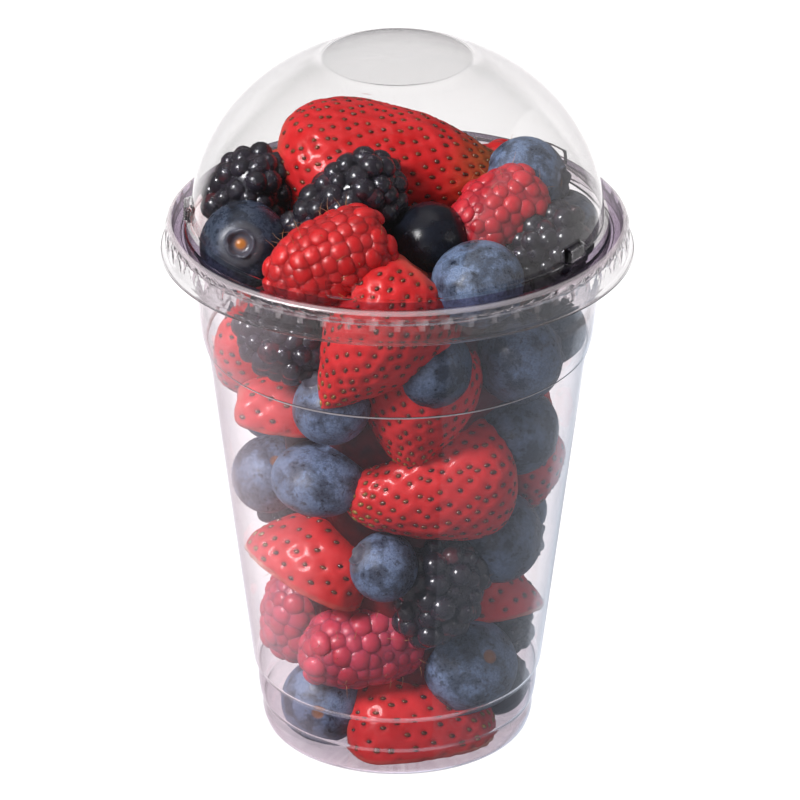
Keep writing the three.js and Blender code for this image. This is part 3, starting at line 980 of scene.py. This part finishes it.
# ---- Raspberries ---------------------------------------------------------------------------
# A raspberry is a hollow thimble of small drupelets that grow together in rings. Each is a
# juicy bead, and some of them keep a fine dry hair.

BERRY_FORM = (2.4, 4.0, 0.12)
BEAD_REACH = 0.68
BEAD_INSET = 0.42
ROW_STEP = 0.88
HOLLOW_END = -0.93
CLOSED_END = -0.995
FACING_HEAP = -0.35
OPEN_HEIGHT = 108
HAIR_REACH = 4.2


def seats_over(width, length, pitch, last, sizes_between, seed):
    """Where the drupelets of one fruit sit, from its tip up to a last share: place, facing, size."""
    scale = np.linspace(1, last, 600)
    across = across_at(scale, *BERRY_FORM) * (width / 2 - pitch * BEAD_INSET)
    tall = scale * (length / 2 - pitch * BEAD_INSET)
    run = np.concatenate([[0], np.cumsum(np.hypot(np.diff(across), np.diff(tall)))])
    chance = np.random.default_rng(seed)
    rows = max(int(round(run[-1] / (pitch * ROW_STEP))), 3)
    places, facings, sizes = [], [], []
    for row in range(rows):
        at = run[-1] * (row + 0.35) / rows
        ring, level = np.interp(at, run, across), np.interp(at, run, tall)
        ahead = np.interp(at + 0.3, run, across), np.interp(at + 0.3, run, tall)
        slope = np.array([-(ahead[1] - level), ahead[0] - ring])
        slope = slope / max(np.linalg.norm(slope), 1e-9)
        count = max(int(round(2 * math.pi * ring / pitch)), 1)
        for i in range(count):
            spin = (i + 0.5 * (row % 2) + chance.normal(0, 0.17)) * 2 * math.pi / count + row * 0.4
            out = np.array([math.cos(spin), math.sin(spin), 0])
            facing = out * slope[0] + np.array([0, 0, slope[1]])
            swell = chance.normal(0, 0.07) * pitch
            aside = np.array([0, 0, chance.normal(0, 0.08) * pitch])
            places.append(out * ring + np.array([0, 0, level]) + aside + facing * swell)
            facings.append(facing)
            sizes.append(chance.uniform(*sizes_between))
    return np.array(places), np.array(facings), np.array(sizes), chance.uniform(0, 1, len(places))


def drupelet_seats(berries, pitch, sunk, hollow, spread_of_sizes, seed):
    """All seats of a list of berries, and the cores under them, sunk by a share of a pitch and
    hollow from the shoulder by a share of the length. Drupelets that face the heap are left out,
    and "room" is 1 where a hair can stand without touching the plastic."""
    seats, cores = [], []
    for i, (width, length, *place, clock, tilt, share, pink) in enumerate(berries):
        azimuth, height, _ = place
        turn = turned_to(direction(clock, tilt))
        last = HOLLOW_END if hollow else CLOSED_END
        rows = seats_over(width, length, pitch * share, last, spread_of_sizes, seed + i)
        places, facings, sizes, tones = rows
        places, facings, sizes = places @ turn.T, facings @ turn.T, sizes * pitch * share
        rest = laid_at(places, *place, sizes * BEAD_REACH)
        shown = (facings @ outwards(azimuth) > FACING_HEAP) | (height >= OPEN_HEIGHT)
        places, facings, sizes, tones = (part[shown] for part in (places, facings, sizes, tones))
        tips = places + rest + facings * HAIR_REACH
        across = np.hypot(tips[:, 0], tips[:, 1])
        room = (across < room_at(tips[:, 2]) - 1) & (tips[:, 2] > floor_at(across) + 1)
        row = {"place": places + rest, "facing": facings}
        row["towards"] = np.tile(turn[:, 2], (len(places), 1))
        row.update(size=sizes, tone=tones, pink=np.full(len(places), pink), room=room.astype(float))
        seats.append(row)
        ways, quads = ball(cells=14)
        inset = pitch * share * sunk
        wide = across_at(ways[:, 2], *BERRY_FORM) * (width / 2 - inset)
        core = np.column_stack([sideways(ways) * wide[:, None], ways[:, 2] * (length / 2 - inset)])
        core[:, 2] += hollow * length * np.exp(-((wide / (0.2 * width)) ** 2)) * (ways[:, 2] < 0)
        plain = {"tone": np.full(len(core), 0.5), "pink": np.full(len(core), pink)}
        cores.append((core @ turn.T + rest, quads.tolist(), plain))
    return together(seats), cores


def drupelet_growth():
    """Beads and hairs on the seats, joined to the cores."""
    inputs = [
        ("Cores", "Object"),
        ("Width", "Float", 0.6),
        ("Height", "Float", 0.6),
        ("Sides", "Int", 14),
        ("Hair share", "Float", 0.4),
        ("Hair length", "Float", 0.0028),
        ("Seed", "Int", 5),
        ("Finish", "Material"),
        ("Hair finish", "Material"),
    ]
    tree, start = new_growth("drupelet_growth", inputs)
    sphere = {"Segments": start["Sides"], "Rings": 7, "Radius": 1.0}
    bead = result(tree, "GeometryNodeMeshUVSphere", sphere)
    plump = {0: start["Width"], 1: start["Width"], 2: start["Height"]}
    plump = {"Geometry": bead, "Scale": result(tree, "ShaderNodeCombineXYZ", plump)}
    bead = result(tree, "GeometryNodeTransform", plump)
    size = reckon(tree, "MULTIPLY", named_value(tree, "size"), MM)
    vary = varied(tree, (0.9, 0.9, 0.92), (1.08, 1.08, 1.12), start["Seed"])
    turn = stand_up(tree)
    beads = planted(tree, start["Seats"], bead, turn, scaled(tree, vary, size))
    cores = {"Object": start["Cores"]}
    cores = add(tree, "GeometryNodeObjectInfo", cores, transform_space="RELATIVE")
    juicy = coated(tree, joined(tree, beads, cores.outputs["Geometry"]), start["Finish"])
    # A hair is a thin cone of length 1, bent aside, with its foot just inside the bead.
    taper = {"Radius Top": 0.006, "Radius Bottom": 0.03, "Depth": 1.0}
    thread = add(tree, "GeometryNodeMeshCone", {"Vertices": 4, "Side Segments": 3, **taper})
    place = result(tree, "GeometryNodeInputPosition")
    along = add(tree, "ShaderNodeSeparateXYZ", {0: place}).outputs[2]
    bend = reckon(tree, "MULTIPLY", reckon(tree, "POWER", along, 2.0), 0.45)
    bent = {"Geometry": thread.outputs["Mesh"]}
    bent["Offset"] = result(tree, "ShaderNodeCombineXYZ", {0: bend})
    lifted = {"Geometry": result(tree, "GeometryNodeSetPosition", bent)}
    lifted["Translation"] = (0.0, 0.0, 0.35)
    hair = result(tree, "GeometryNodeTransform", lifted)
    odds = reckon(tree, "MULTIPLY", named_value(tree, "room"), start["Hair share"])
    odds = {"Probability": odds, "Seed": 9}
    chosen = add(tree, "FunctionNodeRandomValue", odds, data_type="BOOLEAN").outputs[3]
    swing = varied(tree, (-0.7, -0.7, 0.0), (0.7, 0.7, 6.28), 4)
    swing = {"Rotation": turn, "Rotate By": swing}
    swing = result(tree, "FunctionNodeRotateRotation", swing, rotation_space="LOCAL")
    hairs = planted(tree, start["Seats"], hair, swing, start["Hair length"], Selection=chosen)
    dry = coated(tree, hairs, start["Hair finish"])
    smooth = result(tree, "GeometryNodeSetShadeSmooth", {0: joined(tree, juicy, dry)})
    add(tree, "NodeGroupOutput", {"Grown": smooth})
    return tree


drupelets = drupelet_growth()
dry_hair, tree, shader, _ = new_material("dry_hair")
clouds, _ = clouds_in(tree, 3.0, 0.5)
straw = mottled(tree, clouds, 0.3, 0.7, (0.42, 0.14, 0.04, 1), (0.55, 0.32, 0.16, 1))
feed(shader, {"Base Color": straw, "Roughness": 0.5})

raspberries_laid = [
    # width, length, azimuth, height, distance, clock and tilt of the tip, drupelet size, pinkness
    (19, 23, 129, 120, 28, 60, 0, 1.0, 0.0),
    (18, 24, 74, 123, 22, 250, 30, 0.88, 0.3),
    (20, 29, -27, 122, AT_WALL, 256, 20, 0.88, 0.0),
    (18, 22, -92, 25, AT_WALL, 0, 10, 1.0, 1.0),
    (20.5, 30, -26, 26, AT_WALL, 260, 20, 1.0, 1.0),
]
raspberries_laid += [berry + (1.0, 0.5) for berry in behind["raspberry"]]

raspberry_skin, tree, shader, _ = new_material("raspberry_skin")
clouds, specks = clouds_in(tree, 5.0, 0.4)
tone = value_at(tree, "tone")
juicy = colour_mix(tree, tone, (0.68, 0.008, 0.010, 1), (0.84, 0.020, 0.024, 1))
pinkish = colour_mix(tree, tone, (0.64, 0.04, 0.085, 1), (0.80, 0.075, 0.14, 1))
juicy = colour_mix(tree, value_at(tree, "pink"), juicy, pinkish)
deep = spread(tree, clouds, 0.4, 0.7, 0, 0.3)
raspberry_look = {
    "Base Color": colour_mix(tree, deep, juicy, (0.45, 0.006, 0.012, 1)),
    "Roughness": spread(tree, specks, 0.3, 0.7, 0.35, 0.5),
    "Normal": bumps(tree, specks, 0.1, 0.0002),
    "Specular IOR Level": 0.25,
    "Subsurface Weight": 0.6,
    "Subsurface Radius": (1.0, 0.2, 0.17),
    "Subsurface Scale": 0.003,
    "Coat Weight": 0.25,
    "Coat Roughness": 0.17,
}
feed(shader, raspberry_look)


def drupelet_fruit(name, seats, cores, finish, settings):
    """One object of all the berries of a kind, grown from their seats and cores."""
    cores = piece_of(name + "_cores", cores, [finish])
    given = {"Cores": cores, "Finish": finish, "Hair finish": dry_hair, **settings}
    made = grown_on(name, drupelets, seats, given)
    bpy.data.objects.remove(cores)
    return made


made_of = {"pitch": 3.5, "sunk": 0.18, "hollow": 0.3, "spread_of_sizes": (0.85, 1.12), "seed": 300}
seats, cores = drupelet_seats(raspberries_laid, **made_of)
settings = {"Width": 0.75, "Height": 0.42}
raspberries = drupelet_fruit("raspberries", seats, cores, raspberry_skin, settings)
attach(raspberries, "root")

# ---- Brambles ------------------------------------------------------------------------------
# The dark bramble berries have fewer, larger and glossier drupelets round a solid core, black
# to deep purple, with a few that ripened less and stay red.

brambles_laid = [
    # the same as for the raspberries
    (18, 22, -100, 123.5, AT_WALL, 20, 20, 1.0, 0.0),
    (17, 29, -49, 126.5, 15, 234, 10, 1.05, 0.0),
    (18.5, 22, 75, 117, AT_WALL, 60, 20, 1.0, 0.0),
    (18.5, 22, -49, 101, AT_WALL, 120, 20, 1.0, 0.0),
    (21, 25, 23, 41.5, AT_WALL, 200, 20, 1.05, 0.0),
    (15, 18, 92, 24, AT_WALL, 0, 0, 1.0, 0.0),
]
brambles_laid += [berry + (1.0, 0.0) for berry in behind["bramble"]]

bramble_skin, tree, shader, _ = new_material("bramble_skin")
clouds, specks = clouds_in(tree, 6.0, 0.4)
inky = mottled(tree, clouds, 0.35, 0.65, (0.007, 0.006, 0.010, 1), (0.015, 0.010, 0.020, 1))
unripe = reckon(tree, "MULTIPLY", value_at(tree, "tone"), clouds)
unripe = spread(tree, unripe, 0.50, 0.62, 0, 0.9)
bramble_look = {
    "Base Color": colour_mix(tree, unripe, inky, (0.10, 0.008, 0.014, 1)),
    "Roughness": spread(tree, specks, 0.3, 0.7, 0.42, 0.55),
    "Specular IOR Level": 0.16,
    "Specular Tint": (0.75, 0.85, 1.0, 1),
    "Coat Weight": 1.0,
    "Coat IOR": 1.7,
    "Coat Roughness": 0.16,
}
feed(shader, bramble_look)

made_of = {"pitch": 3.95, "sunk": 0.34, "hollow": 0, "spread_of_sizes": (0.85, 1.2), "seed": 500}
seats, cores = drupelet_seats(brambles_laid, **made_of)
settings = {"Width": 0.62, "Height": 0.56, "Hair share": 0.12, "Hair length": 0.002}
brambles = drupelet_fruit("brambles", seats, cores, bramble_skin, settings)
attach(brambles, "root")

# ---- The middle of the heap ----------------------------------------------------------------
# Behind the fruit that shows, the heap is one uneven mass in place of more berries, so no light passes
# through the middle of the cup. It is coloured a dark red as painted shade, for the shadowed gaps
# between the berries.

ways, quads = ball(cells=32)
# Distance from the axis and height along its outline, in mm.
heap_line = np.array([(0, 7), (13, 7), (17, 14), (27, 88), (28, 108), (24, 116), (0, 121)], float)
along_line = np.concatenate([[0], np.cumsum(np.hypot(*np.diff(heap_line, axis=0).T))])
polar = np.arccos(np.clip(-ways[:, 2], -1, 1)) / math.pi * along_line[-1]
away = np.interp(polar, along_line, heap_line[:, 0])
rise = np.interp(polar, along_line, heap_line[:, 1])
points = np.column_stack([sideways(ways) * away[:, None], rise])
points[:, :2] *= (1 + 0.07 * lumps(points, size=9, seed=5))[:, None]
heap_core_painted_shade, tree, shader, _ = new_material("heap_core_painted_shade")
clouds, specks = clouds_in(tree, 16.0, 1.0)
# These dark reds are painted shade for the shadowed gaps between the berries.
painted_gap_shade = mottled(tree, clouds, 0.4, 0.6, (0.03, 0.004, 0.008, 1), (0.16, 0.006, 0.010, 1))
feed(shader, {"Base Color": painted_gap_shade, "Roughness": spread(tree, specks, 0.3, 0.7, 0.3, 0.5)})
heap_core = piece_of("heap_core", [(points, quads.tolist(), {})], [heap_core_painted_shade])
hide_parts("fruit")
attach(heap_core, "root")

# ---- The studio ----------------------------------------------------------------------------
# The cup stands on a plain pale table in a dim room. Lamps at the upper left, overhead, at the
# right and in front light the fruit. The table and the plastic have lamps of their own.

floor_mesh = bpy.data.meshes.new("floor")
floor_mesh.from_pydata([(-3, -3, 0), (3, -3, 0), (3, 3, 0), (-3, 3, 0)], [], [(0, 1, 2, 3)])
floor = bpy.data.objects.new("floor", floor_mesh)
scene.collection.objects.link(floor)
pale_table, tree, shader, table_output = new_material("pale_table")
white = {"Base Color": (0.93, 0.93, 0.93, 1), "Roughness": 0.9, "Specular IOR Level": 0.1}
feed(shader, white)
mirrored = add(tree, "ShaderNodeLightPath").outputs["Glossy Depth"]
unseen = {0: mirrored, 1: shader.outputs[0], 2: result(tree, "ShaderNodeBsdfTransparent")}
feed(table_output, {"Surface": result(tree, "ShaderNodeMixShader", unseen)})
floor_mesh.materials.append(pale_table)
floor.visible_glossy = False
floor.visible_diffuse = False

fruit_pieces = [strawberries, halved_strawberries, strawberry_seeds]
fruit_pieces += [blueberries, raspberries, brambles, heap_core]


def lit_together(name, things):
    """A collection of things for a lamp to light."""
    made = bpy.data.collections.new(name)
    for thing in things:
        made.objects.link(thing)
    return made


lit_fruit = lit_together("lit_fruit", fruit_pieces)
lit_table = lit_together("lit_table", [floor])
lit_plastic = lit_together("lit_plastic", [cup_shell, lid_shell])


def lamp(name, place, size, power, lit, shape="SQUARE", blockers=None):
    """An area lamp at a place, aimed at the cup, that lights one collection."""
    data = bpy.data.lights.new(name, "AREA")
    data.shape = shape
    data.size = size
    data.energy = power
    data.cycles.use_multiple_importance_sampling = False
    made = bpy.data.objects.new(name, data)
    made.location = place
    made.rotation_euler = (Vector((0, 0, 0.08)) - Vector(place)).to_track_quat("-Z", "Y").to_euler()
    made.light_linking.receiver_collection = lit
    made.light_linking.blocker_collection = blockers
    scene.collection.objects.link(made)
    return made


# Each lamp's place and size are in metres, and its power is in watts.
lamp("key", (-1.0, -0.75, 1.15), 0.5, 25, lit_fruit, "DISK")
lamp("overhead", (-0.2, 0.35, 1.7), 1.2, 4.5, lit_fruit)
lamp("side", (1.5, -0.6, 0.75), 0.8, 1.6, lit_fruit)
lamp("front", (-0.4, -1.5, 0.3), 1.0, 1.6, lit_fruit)
lamp("table_lamp", (0, 0, 3.0), 4.0, 42, lit_table)
lamp("table_fill", (0, 0, 3.0), 4.0, 130, lit_table, blockers=lit_table)
plastic_lamp = lamp("plastic_lamp", (-1.0, -0.75, 1.15), 0.7, 26, lit_plastic, "DISK")
plastic_lamp.visible_transmission = False

# What the plastic mirrors, by the x, y and z of a way out of the cup: the table low down, a glow
# low at the left, the wall behind, a round panel at the right and a patch straight below.
world = bpy.data.worlds.new("dim_room")
scene.world = world
world.use_nodes = True
tree = world.node_tree
tree.nodes.clear()
way = add(tree, "ShaderNodeTexCoord").outputs["Generated"]
x, y, z = add(tree, "ShaderNodeSeparateXYZ", {0: way}).outputs
table = spread(tree, z, -0.42, -0.28, 0.33, 0.0)
left = spread(tree, y, -0.6, -0.05, 0.0, 1.2)
for limits in (
    (y, 0.4, 0.7, 1.0, 0.7),
    (x, -0.45, -0.1, 1.0, 0.0),
    (z, -0.47, -0.40, 1.0, 0.25),
    (z, -0.42, -0.28, 1.0, 0.0),
):
    left = reckon(tree, "MULTIPLY", left, spread(tree, *limits))
low = spread(tree, z, -0.47, -0.44, 0.0, 1.0)
far = {0: low, 2: spread(tree, y, 0.35, 0.6), 3: spread(tree, y, 0.66, 0.8)}
back = result(tree, "ShaderNodeMix", far)
back = reckon(tree, "MULTIPLY", back, spread(tree, z, 0.15, 0.5, 1.0, 0.0))
back = reckon(tree, "MULTIPLY", back, spread(tree, z, -0.47, -0.44, 0.92, 1.2))
toward_panel = {0: way, 1: (0.954, 0.063, -0.294)}
toward_panel = add(tree, "ShaderNodeVectorMath", toward_panel, operation="DOT_PRODUCT")
panel = spread(tree, toward_panel.outputs["Value"], 0.505, 0.52, 0.0, 0.55)
below = spread(tree, z, -0.95, -0.88, 1.6, 0.0)
room = table
for part in (left, back, panel, 0.05, below):
    room = reckon(tree, "MAXIMUM", room, part)
path = add(tree, "ShaderNodeLightPath")
inside = reckon(tree, "GREATER_THAN", path.outputs["Transmission Depth"], 3.5)
inside = reckon(tree, "MAXIMUM", inside, path.outputs["Is Diffuse Ray"])
fill = result(tree, "ShaderNodeMix", {0: inside, 2: room, 3: 0.2})
tinted = mottled(tree, x, -0.5, 0.4, (1.0, 0.87, 0.94, 1), (0.80, 0.88, 1.0, 1))
hue = mottled(tree, z, -0.5, -0.4, tinted, (1.0, 0.98, 0.99, 1))
glow = result(tree, "ShaderNodeBackground", {"Color": hue, "Strength": fill})
add(tree, "ShaderNodeOutputWorld", {"Surface": glow})

scene.view_settings.view_transform = "Standard"
scene.cycles.max_bounces = 24
scene.cycles.transmission_bounces = 24
scene.cycles.transparent_max_bounces = 24
scene.cycles.glossy_bounces = 8
scene.cycles.caustics_reflective = False
scene.cycles.use_denoising = True
